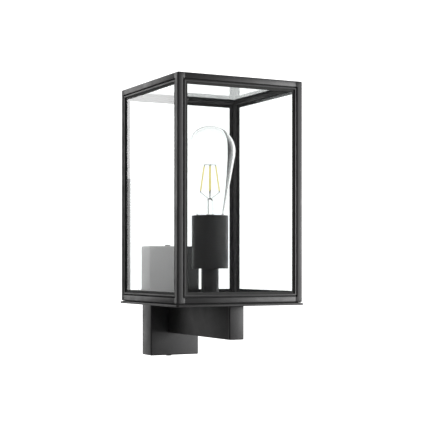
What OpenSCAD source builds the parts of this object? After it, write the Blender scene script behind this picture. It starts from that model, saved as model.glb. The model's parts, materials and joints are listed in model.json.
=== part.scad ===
// Outdoor wall lantern: a glazed square cage standing on an arm that comes out of a slim wall box.
// The origin is on the wall, at the centre of the bracket's two screw slots.
// +X is to the right seen from the front, +Z is up and the lantern reaches out along -Y.

/* [Lantern cage] */
// Width of the glazed cage
cage_w = 169; // [145:1:240]
// Depth of the glazed cage, front to back
cage_d = 169; // [145:1:240]
// Height of the glazed cage
cage_h = 270; // [215:1:380]
// Gap between the wall box and the back of the cage
cage_gap = 17; // [8:1:60]
// Flat outer band of each frame member
face_w = 7; // [6:0.5:12]
// Shadow groove between the band and the glazing bead
groove_w = 1.5; // [1:0.5:4]
// Width of the glazing bead
bead_w = 2; // [1.5:0.5:6]
// Thickness of the glazing bead
bead_t = 1.4; // [1:0.1:3]
// How far the bead sits behind the band
bead_recess = 0.4; // [0:0.1:1]
// Thickness of the glass panes
glass_t = 3; // [2:0.5:4]
// Thickness of the seal on each side of a pane
seal_t = 0.5; // [0.3:0.1:1]
// How far the seal shows inside the bead
seal_show = 3; // [0:0.5:5]
// How far the metal reaches in behind each pane
lip_w = 2.5; // [1.5:0.5:6]
// Gap around the edge of each pane
pane_gap = 0.5; // [0.2:0.1:1]
// Radius on the outer edges of the metalwork
edge_r = 1.5; // [1:0.5:4]

/* [Wall box] */
// Width of the wall box
box_w = 70; // [58:1:120]
// Height of the wall box
box_h = 145; // [130:1:220]
// Distance from the wall to the front of the box
box_depth = 29; // [25:1:60]
// Wall of the box
box_wall = 2; // [1.5:0.5:3]
// Thickness of the gasket between the box and the wall
wall_gasket_t = 1.5; // [1:0.5:3]
// Distance between the two wall screw slots
slot_spacing = 100; // [80:1:110]
// Width of each wall screw slot
slot_w = 5.5; // [4.5:0.5:7]
// Length of each wall screw slot
slot_len = 12; // [8:1:18]
// Thickness of the steel bracket on the wall
bracket_t = 2; // [1.5:0.5:3]
// Diameter of the supply cable that the grommet takes
cable_d = 8; // [6:0.5:10]

/* [Arm] */
// Width of the arm
arm_w = 20; // [19:1:40]
// Height of the arm
arm_h = 41; // [36:1:60]
// Wall of the arm
arm_wall = 2; // [1.5:0.5:3]
// Height of the arm above the bottom of the box
arm_rise = 30; // [10:1:60]
// How far the arm's end stays behind the front of the cage
arm_setback = 12.5; // [0:0.5:50]

/* [Base] */
// Thickness of the base plate
base_t = 2.5; // [2:0.5:5]
// How far the base plate stands out beyond the cage
base_lip = 1.5; // [0.5:0.5:5]
// Thickness of the gasket under the cage
base_seal_t = 0.7; // [0.5:0.1:2]

/* [Lampholder] */
// Outer diameter of the stem
stem_d = 22; // [16:1:30]
// Length of the stem
stem_h = 42; // [25:1:80]
// Outer diameter of the cup around the lampholder
cup_d = 46; // [46:1:60]
// Height of the cup around the lampholder
cup_h = 66.5; // [66:0.5:90]
// Wall of the cup and of the stem
cup_wall = 1.5; // [1:0.5:2.5]
// How deep the bulb's tip sits below the rim of the cup
bulb_seat = 29.5; // [28.5:0.5:31]

/* [Bulb] */
// Largest diameter of the bulb
bulb_d = 64; // [50:1:80]
// Length of the bulb with its cap
bulb_len = 142; // [125:1:160]
// Thickness of the bulb's glass
bulb_wall = 0.8; // [0.6:0.1:1.2]
// Length of the screw cap with its contact
cap_len = 27; // [26:0.5:28]

/* [Hidden] */
$fn = 48;

FACES = ["front", "back", "left", "right", "roof"];
coat = [0.14, 0.14, 0.15];
steel = [0.72, 0.73, 0.74];
brass = [0.78, 0.62, 0.32];
clear_glass = [0.8, 0.88, 0.9, 0.3];
rubber_black = [0.06, 0.06, 0.06];

// Small gaps that keep the cutters clean and the fits free
over = 1;
screw_play = 0.15;
seat_gap = 0.3;
thread_gap = 0.5;

// Frame members
bar_w = face_w + lip_w;
seal_edge = face_w + groove_w + bead_w + seal_show;
glass_in = bead_recess + bead_t + seal_t;
rebate_d = glass_in + glass_t + seal_t;

// Levels and distances along the lantern
arm_z = arm_rise - box_h / 2;
base_z = arm_z + arm_h;
floor_z = base_z + base_t;
cage_z = floor_z + base_seal_t + seat_gap;
cage_back = -box_depth - cage_gap;
cage_front = cage_back - cage_d;
lamp_y = cage_back - cage_d / 2;
arm_front = cage_front + arm_setback;
arm_mid_z = arm_z + arm_h / 2;

// Screws: thread radius, head radius, head height
m3 = [1.5, 2.75, 1.8];
m4 = [2, 3.8, 2.2];
m5 = [2.5, 4.25, 2.8];
m4_flats = 7;
m4_nut_h = 3.2;
washer_t = 2.5;

// Wall box fittings
bracket_w = box_w - 2 * box_wall - 6;
bracket_gap = 1.5;
bracket_h = box_h - 2 * box_wall - 2 * bracket_gap;
ear_w = 24;
ear_d = 14;
ear_screw_y = -9;
grommet_r = cable_d / 2 + 3;
grommet_flange_r = grommet_r + 2;
grommet_len = 5;
block_w = 34;
block_d = 15;
block_h = 15;
block_z = 18;
way_pitch = 10;
earth_x = 20;
arm_screw_z = 11;
arm_block_d = 16;
wire_hole_r = 4.5;
cap_plate_t = 2.5;
cap_plug_d = 8;
cap_plug_gap = 0.2;

// Lampholder stack, from the arm upwards
tube_r = 5;
tube_bore_r = 3.5;
nut_h = 3.5;
nut_flats = 14;
cup_z = floor_z + stem_h;
cup_top = cup_z + cup_h;
body_z = cup_z + cup_wall + nut_h;
body_floor = 6;
body_r = 19.5;
body_bore_r = 15;
ledge_r = 13.5;
body_top = cup_top - 4.5;
bulb_z = cup_top - bulb_seat;
contact_h = 3;
insert_top = bulb_z - contact_h;
insert_t = 11;
insert_z = insert_top - insert_t;
rim_r = 0.7;

// Bulb and its screw thread
thread_pitch = 3.629;
thread_depth = 1.05;
cap_root_r = 12.1;
cap_bore_r = 11.4;
cap_skirt_r = 13.1;
cap_start = 5.5;
cap_thread_end = 21.5;
sleeve_r = 14.8;
sleeve_end = 21;
thread_steps = 24;
rows_per_turn = 6;
bulb_r = bulb_d / 2;
neck_r = 13;
neck_in = 7;
neck_core_r = 11.2;
widest = bulb_len - bulb_r;
bulb_taper = 10.5;
shoulder_h = 6;

// Base fixings
base_screw_y = 50;
gasket_inset = 1.5;
gasket_w = bar_w - gasket_inset;
post_hole_in = bar_w / 2 + 0.75;
post_hole_d = face_w - 0.5;

// ---------- general shapes ----------

// A rectangle with rounded corners, centred
module rounded_rect(w, d, r) {
    translate([-w / 2 + r, -d / 2]) square([w - 2 * r, d]);
    translate([-w / 2, -d / 2 + r]) square([w, d - 2 * r]);
    for (x = [-1, 1], y = [-1, 1])
        translate([x * (w / 2 - r), y * (d / 2 - r)]) circle(r);
}

// A block whose twelve edges are rounded, standing on its base centre
module soft_block(w, d, h, r) {
    intersection() {
        linear_extrude(h) rounded_rect(w, d, r);
        translate([0, d / 2, h / 2]) rotate([90, 0, 0]) linear_extrude(d) rounded_rect(w, h, r);
        translate([-w / 2, 0, h / 2]) rotate([90, 0, 90]) linear_extrude(w) rounded_rect(d, h, r);
    }
}

// A flat ring between two centred rectangles
module frame_ring(size, width, t) {
    linear_extrude(t) difference() {
        square(size, center = true);
        square([size.x - 2 * width, size.y - 2 * width], center = true);
    }
}

// A socket-head screw: the shank runs down from the seat at z = 0
module screw(spec, length) {
    difference() {
        union() {
            cylinder(r = spec[1], h = spec[2]);
            translate([0, 0, -length]) cylinder(r = spec[0], h = length + spec[2] / 2);
        }
        translate([0, 0, spec[2] / 3]) cylinder(r = spec[0] * 0.8, h = spec[2], $fn = 6);
    }
}

// The cone under a countersunk head: its wide end is at z = 0
module sink_cone(spec) {
    cylinder(r1 = spec[1], r2 = spec[0], h = spec[2]);
}

// A countersunk screw: it points up from its flush face at z = 0
module flush_screw(spec, length) {
    difference() {
        union() {
            sink_cone(spec);
            cylinder(r = spec[0], h = length);
        }
        translate([0, 0, -over]) cylinder(r = spec[0] * 0.7, h = spec[2] / 2 + over, $fn = 6);
    }
}

// A hexagon nut around a hole
module hex_nut(flats, hole_r, h) {
    difference() {
        rotate(30) cylinder(r = flats / 2 / cos(30), h = h, $fn = 6);
        translate([0, 0, -over]) cylinder(r = hole_r, h = h + 2 * over);
    }
}

// A hollow cylinder
module pipe(r_out, r_in, h) {
    difference() {
        cylinder(r = r_out, h = h);
        translate([0, 0, -over]) cylinder(r = r_in, h = h + 2 * over);
    }
}

// A round wire along a smooth curve through hand-set points
function smooth_at(p, i, t) =
    let (a = p[max(i - 1, 0)], b = p[i], c = p[i + 1], d = p[min(i + 2, len(p) - 1)])
    0.5 * (2 * b + (c - a) * t + (2 * a - 5 * b + 4 * c - d) * t * t
        + (3 * b - a - 3 * c + d) * t * t * t);
function smooth_path(p, steps) = concat(
    [for (i = [0 : len(p) - 2], k = [0 : steps - 1]) smooth_at(p, i, k / steps)],
    [p[len(p) - 1]]
);
module wire(points, r, sides = 8, steps = 3) {
    path = smooth_path(points, steps);
    n = len(path);
    rings = [for (i = [0 : n - 1])
        let (t = path[min(i + 1, n - 1)] - path[max(i - 1, 0)],
             along = i == 0 || i == n - 1 ? round_axis(t) : t / norm(t),
             side = cross(along, [1, 0, 0]) / norm(cross(along, [1, 0, 0])),
             up = cross(side, along))
        for (k = [0 : sides - 1])
            path[i] + r * (cos(360 * k / sides) * side + sin(360 * k / sides) * up)];
    faces = concat(
        [[for (k = [0 : sides - 1]) k]],
        [for (i = [0 : n - 2], k = [0 : sides - 1])
            let (a = i * sides + k, b = i * sides + (k + 1) % sides)
            each [[a, a + sides, b], [b, a + sides, b + sides]]],
        [[for (k = [sides - 1 : -1 : 0]) (n - 1) * sides + k]]
    );
    polyhedron(rings, faces);
}
// The axis direction nearest to t, so that a wire's ends are square to what they meet
function round_axis(t) =
    abs(t.z) >= abs(t.y) ? [0, 0, sign(t.z)] : [0, sign(t.y), 0];

// ---------- wall box ----------

module wall_bracket() {
    color(steel) difference() {
        translate([-bracket_w / 2, -bracket_t, -bracket_h / 2])
            cube([bracket_w, bracket_t, bracket_h]);
        for (s = [-1, 1]) translate([0, over, s * slot_spacing / 2]) rotate([90, 0, 0]) wall_slot();
        rotate([90, 0, 0]) translate([0, 0, -over]) cylinder(r = grommet_r, h = bracket_t + 2 * over);
    }
}

// The two tabs welded to the ends of the bracket, which the box is screwed to
module bracket_ears() {
    color(steel) difference() {
        for (z = [-bracket_h / 2, bracket_h / 2 - bracket_t])
            translate([-ear_w / 2, -ear_d, z]) cube([ear_w, ear_d - bracket_t, bracket_t]);
        translate([0, ear_screw_y, -bracket_h / 2 - over])
            cylinder(r = m4[0] + screw_play, h = bracket_h + 2 * over);
    }
}

module wall_slot() {
    run = slot_len - slot_w;
    depth = bracket_t + 2 * over;
    for (s = [-1, 1]) translate([0, s * run / 2, 0]) cylinder(r = slot_w / 2, h = depth);
    translate([-slot_w / 2, -run / 2, 0]) cube([slot_w, run, depth]);
}

module wall_gasket() {
    color(rubber_black) rotate([90, 0, 0])
        frame_ring([box_w - 1, box_h - 1], box_wall + 0.5, wall_gasket_t);
}

module wall_box() {
    color(coat) difference() {
        translate([0, 0, -box_h / 2]) soft_block(box_w, 2 * box_depth, box_h, edge_r);
        translate([-box_w, -wall_gasket_t, -box_h]) cube([2 * box_w, 2 * box_depth, 2 * box_h]);
        translate([-box_w / 2 + box_wall, -box_depth + box_wall, -box_h / 2 + box_wall])
            cube([box_w - 2 * box_wall, box_depth, box_h - 2 * box_wall]);
        for (z = arm_screw_levels()) translate([0, -box_depth + box_wall + over, z])
            rotate([90, 0, 0]) cylinder(r = m5[0] + screw_play, h = box_wall + 2 * over);
        translate([0, -box_depth + box_wall + over, arm_mid_z])
            rotate([90, 0, 0]) cylinder(r = wire_hole_r, h = box_wall + 2 * over);
        translate([0, ear_screw_y, -box_h / 2 - over])
            cylinder(r = m4[0] + screw_play, h = box_h + 2 * over);
    }
}
function arm_screw_levels() = [arm_mid_z - arm_screw_z, arm_mid_z + arm_screw_z];

module box_screws() {
    ear_depth = box_wall + bracket_gap + bracket_t + 3;
    color(coat) for (s = [-1, 1]) translate([0, ear_screw_y, s * box_h / 2])
        rotate([s > 0 ? 0 : 180, 0, 0]) screw(m4, ear_depth);
}

module cable_grommet() {
    color(rubber_black) rotate([90, 0, 0]) difference() {
        union() {
            cylinder(r = grommet_r, h = grommet_len);
            translate([0, 0, bracket_t]) cylinder(r = grommet_flange_r, h = grommet_len - bracket_t);
        }
        translate([0, 0, -over]) cylinder(r = cable_d / 2, h = grommet_len + 2 * over);
    }
}

module terminal_block() {
    color([0.9, 0.9, 0.86]) difference() {
        translate([-block_w / 2, -bracket_t - block_d, block_z]) cube([block_w, block_d, block_h]);
        for (i = [-1 : 1]) translate([i * way_pitch, -bracket_t - block_d, block_z + block_h / 2])
            rotate([-90, 0, 0]) translate([0, 0, -over]) cylinder(r = m3[0] + screw_play, h = 8);
    }
}

module terminal_screws() {
    color(brass) for (i = [-1 : 1])
        translate([i * way_pitch, -bracket_t - block_d, block_z + block_h / 2])
            rotate([90, 0, 0]) screw(m3, 6);
}

module earth_screw() {
    color(brass) translate([-earth_x, -bracket_t, -earth_x]) rotate([90, 0, 0]) {
        cylinder(r = m4[1], h = washer_t);
        translate([0, 0, washer_t]) hex_nut(m4_flats, m4[0], m4_nut_h);
        translate([0, 0, washer_t]) cylinder(r = m4[0], h = m4_nut_h + 2);
    }
}

// ---------- leads, each along its own hand-set points ----------

lead_r = 1;
lead_x = 1.5;
lead_y = -12;
module long_lead(side) {
    wire([
        [side * way_pitch, lead_y, block_z], [side * way_pitch, lead_y, block_z - 6],
        [side * 8, -13, -2], [side * 4, -18, arm_mid_z + 3], [side * lead_x, -27, arm_mid_z],
        [side * lead_x, -40, arm_mid_z], [side * lead_x, -70, arm_mid_z - 3],
        [side * lead_x, lamp_y + 30, arm_mid_z - 3], [side * lead_x, lamp_y + 10, arm_mid_z],
        [side * lead_x, lamp_y, arm_mid_z + 8], [side * lead_x, lamp_y, floor_z],
        [side * lead_x, lamp_y, cup_z], [side * lead_x, lamp_y, insert_z - 4],
        [side * lead_x, lamp_y, insert_z]
    ], lead_r);
}

module live_lead() {
    color([0.45, 0.25, 0.15]) long_lead(1);
}

module neutral_lead() {
    color([0.2, 0.35, 0.7]) long_lead(-1);
}

module earth_lead() {
    color([0.35, 0.6, 0.2]) wire([
        [0, lead_y, block_z], [0, lead_y, block_z - 5], [-6, -15, 6], [-15, -12, -1],
        [-earth_x, -bracket_t - 2, -8], [-earth_x, -bracket_t - 1.2, -12],
        [-earth_x, -bracket_t - 1.2, m4[1] - earth_x]
    ], lead_r);
}

// ---------- arm ----------

module arm_tube() {
    back = box_depth;
    length = -arm_front - back - cap_plate_t;
    color(coat) difference() {
        translate([0, -back, arm_mid_z]) rotate([90, 0, 0]) linear_extrude(length) difference() {
            rounded_rect(arm_w, arm_h, edge_r);
            square([arm_w - 2 * arm_wall, arm_h - 2 * arm_wall], center = true);
        }
        translate([0, lamp_y, base_z - arm_wall - over])
            cylinder(r = tube_r + screw_play, h = arm_wall + 2 * over);
        for (s = [-1, 1]) translate([0, lamp_y + s * base_screw_y, base_z - arm_wall - over])
            cylinder(r = m4[0] + screw_play, h = arm_wall + 2 * over);
    }
}

module arm_block() {
    inner_w = arm_w - 2 * arm_wall;
    inner_h = arm_h - 2 * arm_wall;
    color(steel) difference() {
        translate([-inner_w / 2, -box_depth - arm_block_d, arm_mid_z - inner_h / 2])
            cube([inner_w, arm_block_d, inner_h]);
        translate([0, -box_depth + over, arm_mid_z])
            rotate([90, 0, 0]) cylinder(r = wire_hole_r, h = arm_block_d + 2 * over);
        for (z = arm_screw_levels()) translate([0, -box_depth + over, z])
            rotate([90, 0, 0]) cylinder(r = m5[0] + screw_play, h = arm_block_d + 2 * over);
    }
}

module arm_screws() {
    color(steel) for (z = arm_screw_levels()) translate([0, -box_depth + box_wall, z])
        rotate([-90, 0, 0]) screw(m5, box_wall + arm_block_d - 2);
}

module arm_end_cap() {
    plug_w = arm_w - 2 * arm_wall - 2 * cap_plug_gap;
    plug_h = arm_h - 2 * arm_wall - 2 * cap_plug_gap;
    color(coat) {
        intersection() {
            translate([0, arm_front + 10, arm_z]) soft_block(arm_w, 20, arm_h, edge_r);
            translate([-arm_w, arm_front - over, arm_z - over])
                cube([2 * arm_w, cap_plate_t + over, arm_h + 2 * over]);
        }
        translate([-plug_w / 2, arm_front + cap_plate_t, arm_mid_z - plug_h / 2])
            cube([plug_w, cap_plug_d, plug_h]);
    }
}

// ---------- base ----------

module corner_places(inset) {
    for (x = [-1, 1], y = [-1, 1])
        translate([x * (cage_w / 2 - inset), lamp_y + y * (cage_d / 2 - inset), 0]) children();
}

module base_plate() {
    color(coat) difference() {
        translate([0, lamp_y, base_z]) linear_extrude(base_t)
            rounded_rect(cage_w + 2 * base_lip, cage_d + 2 * base_lip, edge_r + base_lip);
        translate([0, lamp_y, base_z - over])
            cylinder(r = tube_r + screw_play, h = base_t + 2 * over);
        for (s = [-1, 1]) translate([0, lamp_y + s * base_screw_y, base_z - over])
            cylinder(r = m4[0] + screw_play, h = base_t + 2 * over);
        corner_places(post_hole_in) translate([0, 0, base_z]) {
            sink_cone(m4);
            translate([0, 0, -over]) cylinder(r = m4[1], h = over);
            cylinder(r = m4[0] + screw_play, h = base_t + over);
        }
    }
}

module base_screws() {
    length = base_t + arm_wall + m4_nut_h + 1;
    color(steel) for (s = [-1, 1]) translate([0, lamp_y + s * base_screw_y, floor_z])
        screw(m4, length);
}

module base_nuts() {
    color(steel) for (s = [-1, 1])
        translate([0, lamp_y + s * base_screw_y, base_z - arm_wall - m4_nut_h])
            hex_nut(m4_flats, m4[0], m4_nut_h);
}

module base_gasket() {
    color(rubber_black) difference() {
        translate([0, lamp_y, floor_z]) frame_ring(
            [cage_w - 2 * gasket_inset, cage_d - 2 * gasket_inset], gasket_w, base_seal_t);
        corner_places(post_hole_in) translate([0, 0, floor_z - over])
            cylinder(r = m4[0] + seat_gap, h = base_seal_t + 2 * over);
    }
}

module cage_screws() {
    length = base_t + base_seal_t + seat_gap + post_hole_d - 0.5;
    color(coat) corner_places(post_hole_in) translate([0, 0, base_z]) flush_screw(m4, length);
}

// ---------- lampholder ----------

module stem_tube() {
    color(coat) translate([0, lamp_y, floor_z]) pipe(stem_d / 2, stem_d / 2 - cup_wall, stem_h);
}

module cable_tube() {
    bottom = base_z - arm_wall - nut_h - 1;
    top = body_z + body_floor;
    color(brass) translate([0, lamp_y, bottom]) pipe(tube_r, tube_bore_r, top - bottom);
}

module tube_nuts() {
    color(brass) translate([0, lamp_y, 0]) {
        translate([0, 0, base_z - arm_wall - nut_h]) hex_nut(nut_flats, tube_r, nut_h);
        translate([0, 0, cup_z + cup_wall]) hex_nut(nut_flats, tube_r, nut_h);
    }
}

module lamp_cup() {
    r = cup_d / 2;
    color(coat) translate([0, lamp_y, cup_z]) difference() {
        rotate_extrude() {
            translate([tube_r + screw_play, 0]) square([r - rim_r - tube_r - screw_play, cup_wall]);
            translate([r - cup_wall, rim_r]) square([cup_wall, cup_h - rim_r]);
            intersection() {
                translate([r - rim_r, rim_r]) circle(rim_r);
                translate([r - rim_r, 0]) square(rim_r);
            }
            translate([r - cup_wall, cup_wall / 2]) square([cup_wall - rim_r, cup_wall]);
        }
    }
}

module holder_body() {
    color([0.16, 0.16, 0.16]) translate([0, lamp_y, body_z]) difference() {
        cylinder(r = body_r, h = body_top - body_z);
        translate([0, 0, -over]) cylinder(r = tube_r + screw_play, h = body_floor + 2 * over);
        translate([0, 0, body_floor]) cylinder(r = ledge_r, h = body_top - body_z);
        translate([0, 0, insert_z - body_z]) cylinder(r = body_bore_r, h = body_top - body_z);
    }
}

module holder_insert() {
    color([0.93, 0.92, 0.88]) translate([0, lamp_y, insert_z]) difference() {
        cylinder(r = body_bore_r - screw_play, h = insert_t);
        for (s = [-1, 1]) translate([0, s * 9, insert_t - 4]) cylinder(r = m3[0], h = 4 + over);
    }
}

module centre_contact() {
    strip_w = 5;
    strip_t = 0.6;
    tongue_top = contact_h - seat_gap;
    color(brass) translate([0, lamp_y, insert_top]) {
        translate([-strip_w / 2, -8, 0]) cube([strip_w, 8, strip_t]);
        translate([-strip_w / 2, -8, strip_t]) cube([strip_w, strip_t, tongue_top - 2 * strip_t]);
        translate([-strip_w / 2, -8, tongue_top - strip_t]) cube([strip_w, 12, strip_t]);
    }
}

// Height of the thread's wave at a turn angle and a level, from 0 at the root to 1 at the crest
function wave(turn, z) = 0.5 + 0.5 * cos(360 * (z / thread_pitch - turn / 360));
function ramp(z, from, to) = max(0, min(1, (z - from) / (to - from)));

// Outer radius of the bulb's cap, and inner radius of the sleeve that it screws into
function cap_r(turn, z) =
    let (live = ramp(z, cap_start, cap_start + 1) * (1 - ramp(z, cap_thread_end, cap_thread_end + 1)))
    cap_root_r + thread_depth * wave(turn, z) * live
        + (cap_skirt_r - cap_root_r) * ramp(z, cap_thread_end, cap_thread_end + 1);
function sleeve_bore_r(turn, z) =
    let (live = ramp(z, -contact_h, 1 - contact_h) * (1 - ramp(z, sleeve_end - 1, sleeve_end)))
    cap_root_r + thread_gap + thread_depth * (1 - (1 - wave(turn, z)) * live);

// A tube from level z0 to z1 (over the bulb's tip) with one threaded wall and one plain wall
module threaded_shell(z0, z1, plain_r, inside) {
    rows = ceil((z1 - z0) * rows_per_turn / thread_pitch);
    n = thread_steps;
    threaded = [for (i = [0 : rows], k = [0 : n - 1])
        let (turn = 360 * k / n, z = z0 + (z1 - z0) * i / rows,
             r = inside ? sleeve_bore_r(turn, z) : cap_r(turn, z))
        [r * cos(turn), r * sin(turn), z]];
    plain = [for (z = [z0, z1], k = [0 : n - 1])
        [plain_r * cos(360 * k / n), plain_r * sin(360 * k / n), z]];
    first = len(threaded);
    wall = [for (i = [0 : rows - 1], k = [0 : n - 1])
        let (a = i * n + k, b = i * n + (k + 1) % n)
        each [[a, a + n, b], [b, a + n, b + n]]];
    lining = [for (k = [0 : n - 1])
        let (a = first + k, b = first + (k + 1) % n)
        each [[a, b, a + n], [b, b + n, a + n]]];
    ends = [for (k = [0 : n - 1])
        let (j = (k + 1) % n, top = rows * n)
        each [[k, j, first + k], [j, first + j, first + k],
              [top + k, first + n + k, top + j], [top + j, first + n + k, first + n + j]]];
    faces = concat(wall, lining, ends);
    polyhedron(concat(threaded, plain), inside ? [for (f = faces) [f[2], f[1], f[0]]] : faces);
}

module holder_sleeve() {
    color(brass) translate([0, lamp_y, bulb_z])
        threaded_shell(-contact_h, sleeve_end, sleeve_r, true);
}

// ---------- cage ----------

// Width and height of a face of the cage
function face_size(face) =
    face == "roof" ? [cage_w, cage_d] :
    face == "front" || face == "back" ? [cage_w, cage_h] : [cage_d, cage_h];
function smaller(size, cut) = [size.x - 2 * cut, size.y - 2 * cut];

// Children are drawn centred on the face, with Z running into the lantern
module on_face(face) {
    mid_z = cage_z + cage_h / 2;
    if (face == "front") translate([0, cage_front, mid_z]) rotate([-90, 0, 0]) children();
    if (face == "back") translate([0, cage_back, mid_z]) rotate([90, 0, 0]) children();
    if (face == "left")
        translate([-cage_w / 2, lamp_y, mid_z]) rotate([0, 90, 0]) rotate(90) children();
    if (face == "right")
        translate([cage_w / 2, lamp_y, mid_z]) rotate([0, -90, 0]) rotate(90) children();
    if (face == "roof") translate([0, lamp_y, cage_z + cage_h]) rotate([180, 0, 0]) children();
}

// The rebate that holds the seal, the pane and the bead of one face
module rebate(face) {
    on_face(face) translate([0, 0, -over]) linear_extrude(rebate_d + over)
        square(smaller(face_size(face), face_w), center = true);
}

module cage_body() {
    translate([0, lamp_y, cage_z]) soft_block(cage_w, cage_d, cage_h, edge_r);
}

// A frame member: the part of the cage's outline inside a box, less the rebates that touch it
module member(low, size, faces) {
    color(coat) difference() {
        intersection() {
            cage_body();
            translate(low) cube(size);
        }
        for (face = faces) rebate(face);
    }
}

module post(x, y, faces) {
    low_x = x < 0 ? -cage_w / 2 : cage_w / 2 - bar_w;
    low_y = y < 0 ? cage_front : cage_back - bar_w;
    difference() {
        member([low_x, low_y, cage_z], [bar_w, bar_w, cage_h], faces);
        corner_places(post_hole_in) translate([0, 0, cage_z - over])
            cylinder(r = m4[0] + seat_gap, h = post_hole_d + over);
    }
}

// A rail between two posts, along X at the front or back and along Y at the sides
module rail(face, top) {
    low_z = top ? cage_z + cage_h - bar_w : cage_z;
    faces = top ? [face, "roof"] : [face];
    along_x = face == "front" || face == "back";
    low = [
        face == "right" ? cage_w / 2 - bar_w : face == "left" ? -cage_w / 2 : bar_w - cage_w / 2,
        face == "back" ? cage_back - bar_w : face == "front" ? cage_front : cage_front + bar_w,
        low_z
    ];
    size = along_x ? [cage_w - 2 * bar_w, bar_w, bar_w] : [bar_w, cage_d - 2 * bar_w, bar_w];
    member(low, size, faces);
}

module pane(face) {
    color(clear_glass) on_face(face) translate([0, 0, glass_in]) linear_extrude(glass_t)
        square(smaller(face_size(face), face_w + pane_gap), center = true);
}

module bead(face) {
    color(coat) on_face(face) translate([0, 0, bead_recess])
        frame_ring(smaller(face_size(face), face_w + groove_w), bead_w, bead_t);
}

// Each pane lies between an outer seal, which shows inside the bead, and an inner one on the metal
module glazing_seals() {
    inset = face_w + pane_gap;
    color(rubber_black) for (face = FACES) on_face(face) {
        translate([0, 0, glass_in - seal_t])
            frame_ring(smaller(face_size(face), inset), seal_edge - inset, seal_t);
        translate([0, 0, rebate_d - seal_t])
            frame_ring(smaller(face_size(face), inset), bar_w - inset, seal_t);
    }
}

// ---------- bulb, each level measured from its tip ----------

// Outer radius of the glass above the cap: a round shoulder, then a cone that runs into the crown
function cone_r(z) =
    bulb_r * cos(bulb_taper) + tan(bulb_taper) * (z - widest + bulb_r * sin(bulb_taper));
function glass_r(z) =
    cone_r(z) - (cone_r(cap_len) - neck_r) * pow(1 - ramp(z, cap_len, cap_len + shoulder_h), 2);

module bulb_glass() {
    shoulder_steps = 6;
    turn_step = (90 + bulb_taper) / 18;
    crown = [for (i = [0 : 18]) let (a = i * turn_step - bulb_taper)
        [bulb_r * cos(a), widest + bulb_r * sin(a)]];
    crown_in = [for (i = [18 : -1 : 0]) let (a = i * turn_step - bulb_taper)
        [(bulb_r - bulb_wall) * cos(a), widest + (bulb_r - bulb_wall) * sin(a)]];
    side = [for (i = [0 : shoulder_steps])
        let (z = cap_len + shoulder_h * i / shoulder_steps) [glass_r(z), z]];
    side_in = [for (i = [shoulder_steps : -1 : 1])
        let (z = cap_len + shoulder_h * i / shoulder_steps) [glass_r(z) - bulb_wall, z]];
    neck_bore_r = neck_core_r - bulb_wall;
    neck = [[neck_bore_r, cap_len + bulb_wall], [neck_bore_r, cap_len - neck_in],
            [neck_core_r, cap_len - neck_in], [neck_core_r, cap_len]];
    color([0.9, 0.93, 0.93, 0.25]) translate([0, lamp_y, bulb_z]) rotate_extrude()
        polygon(concat(neck, side, crown, crown_in, side_in));
}

module bulb_cap() {
    color(steel) translate([0, lamp_y, bulb_z])
        threaded_shell(cap_start, cap_len, cap_bore_r, false);
}

module bulb_insulator() {
    plug_r = cap_bore_r - 0.2;
    flange_r = cap_root_r - 0.2;
    color([0.05, 0.05, 0.06]) translate([0, lamp_y, bulb_z]) rotate_extrude()
        polygon([[0, 1.5], [5.2, 1.5], [flange_r, 4.5], [flange_r, cap_start], [plug_r, cap_start],
                 [plug_r, cap_start + 3], [0, cap_start + 3]]);
}

module bulb_contact() {
    color([0.75, 0.74, 0.7]) translate([0, lamp_y, bulb_z]) rotate_extrude()
        polygon([[0, 0], [3, 0], [4.4, 0.5], [4.8, 1.5], [0, 1.5]]);
}

// The pressed glass stem inside the bulb, standing on the insulator
stem_foot = 8.5;
stem_tip = 52;
module bulb_mount() {
    color([0.9, 0.93, 0.93, 0.3]) translate([0, lamp_y, bulb_z]) rotate_extrude()
        polygon([[0, stem_foot], [9.8, stem_foot], [9.8, 18], [6, 26], [4.4, 34], [4, 47],
                 [3, 50], [1.6, stem_tip - 0.4], [0, stem_tip]]);
}

// Four straight filaments that lean in towards the top
filament_low = [12, 59];
filament_high = [7, 93];
filament_r = 0.9;
wire_r = 0.35;
filament_turn = -24;
module rod_between(a, b, r) {
    d = b - a;
    translate(a) rotate([0, acos(d.z / norm(d)), atan2(d.y, d.x)]) cylinder(r = r, h = norm(d), $fn = 16);
}

module filament_wires() {
    color(steel) translate([0, lamp_y, bulb_z]) {
        rod_between([0, 0, stem_tip], [0, 0, filament_high[1] + 1], wire_r);
        for (i = [0 : 3]) rotate(filament_turn + 90 * i) {
            rod_between([wire_r, 0, filament_high[1] + wire_r],
                [filament_high[0], 0, filament_high[1] + wire_r], wire_r);
            rod_between([1.8, 0, stem_tip], [filament_low[0], 0, filament_low[1] - wire_r], wire_r);
        }
    }
}

module filaments() {
    color([0.95, 0.85, 0.4]) translate([0, lamp_y, bulb_z])
        for (i = [0 : 3]) rotate(filament_turn + 90 * i)
            rod_between([filament_low[0], 0, filament_low[1]],
                [filament_high[0], 0, filament_high[1]], filament_r);
}

wall_bracket();
bracket_ears();
wall_gasket();
wall_box();
box_screws();
cable_grommet();
terminal_block();
terminal_screws();
earth_screw();
live_lead();
neutral_lead();
earth_lead();
arm_tube();
arm_block();
arm_screws();
arm_end_cap();
base_plate();
base_screws();
base_nuts();
base_gasket();
cage_screws();
stem_tube();
cable_tube();
tube_nuts();
lamp_cup();
holder_body();
holder_insert();
centre_contact();
holder_sleeve();
post(-1, -1, ["front", "left", "roof"]);  // post_front_left
post(1, -1, ["front", "right", "roof"]);  // post_front_right
post(-1, 1, ["back", "left", "roof"]);  // post_back_left
post(1, 1, ["back", "right", "roof"]);  // post_back_right
rail("front", true);  // rail_top_front
rail("back", true);  // rail_top_back
rail("left", true);  // rail_top_left
rail("right", true);  // rail_top_right
rail("front", false);  // rail_bottom_front
rail("back", false);  // rail_bottom_back
rail("left", false);  // rail_bottom_left
rail("right", false);  // rail_bottom_right
pane("front");  // pane_front
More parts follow.
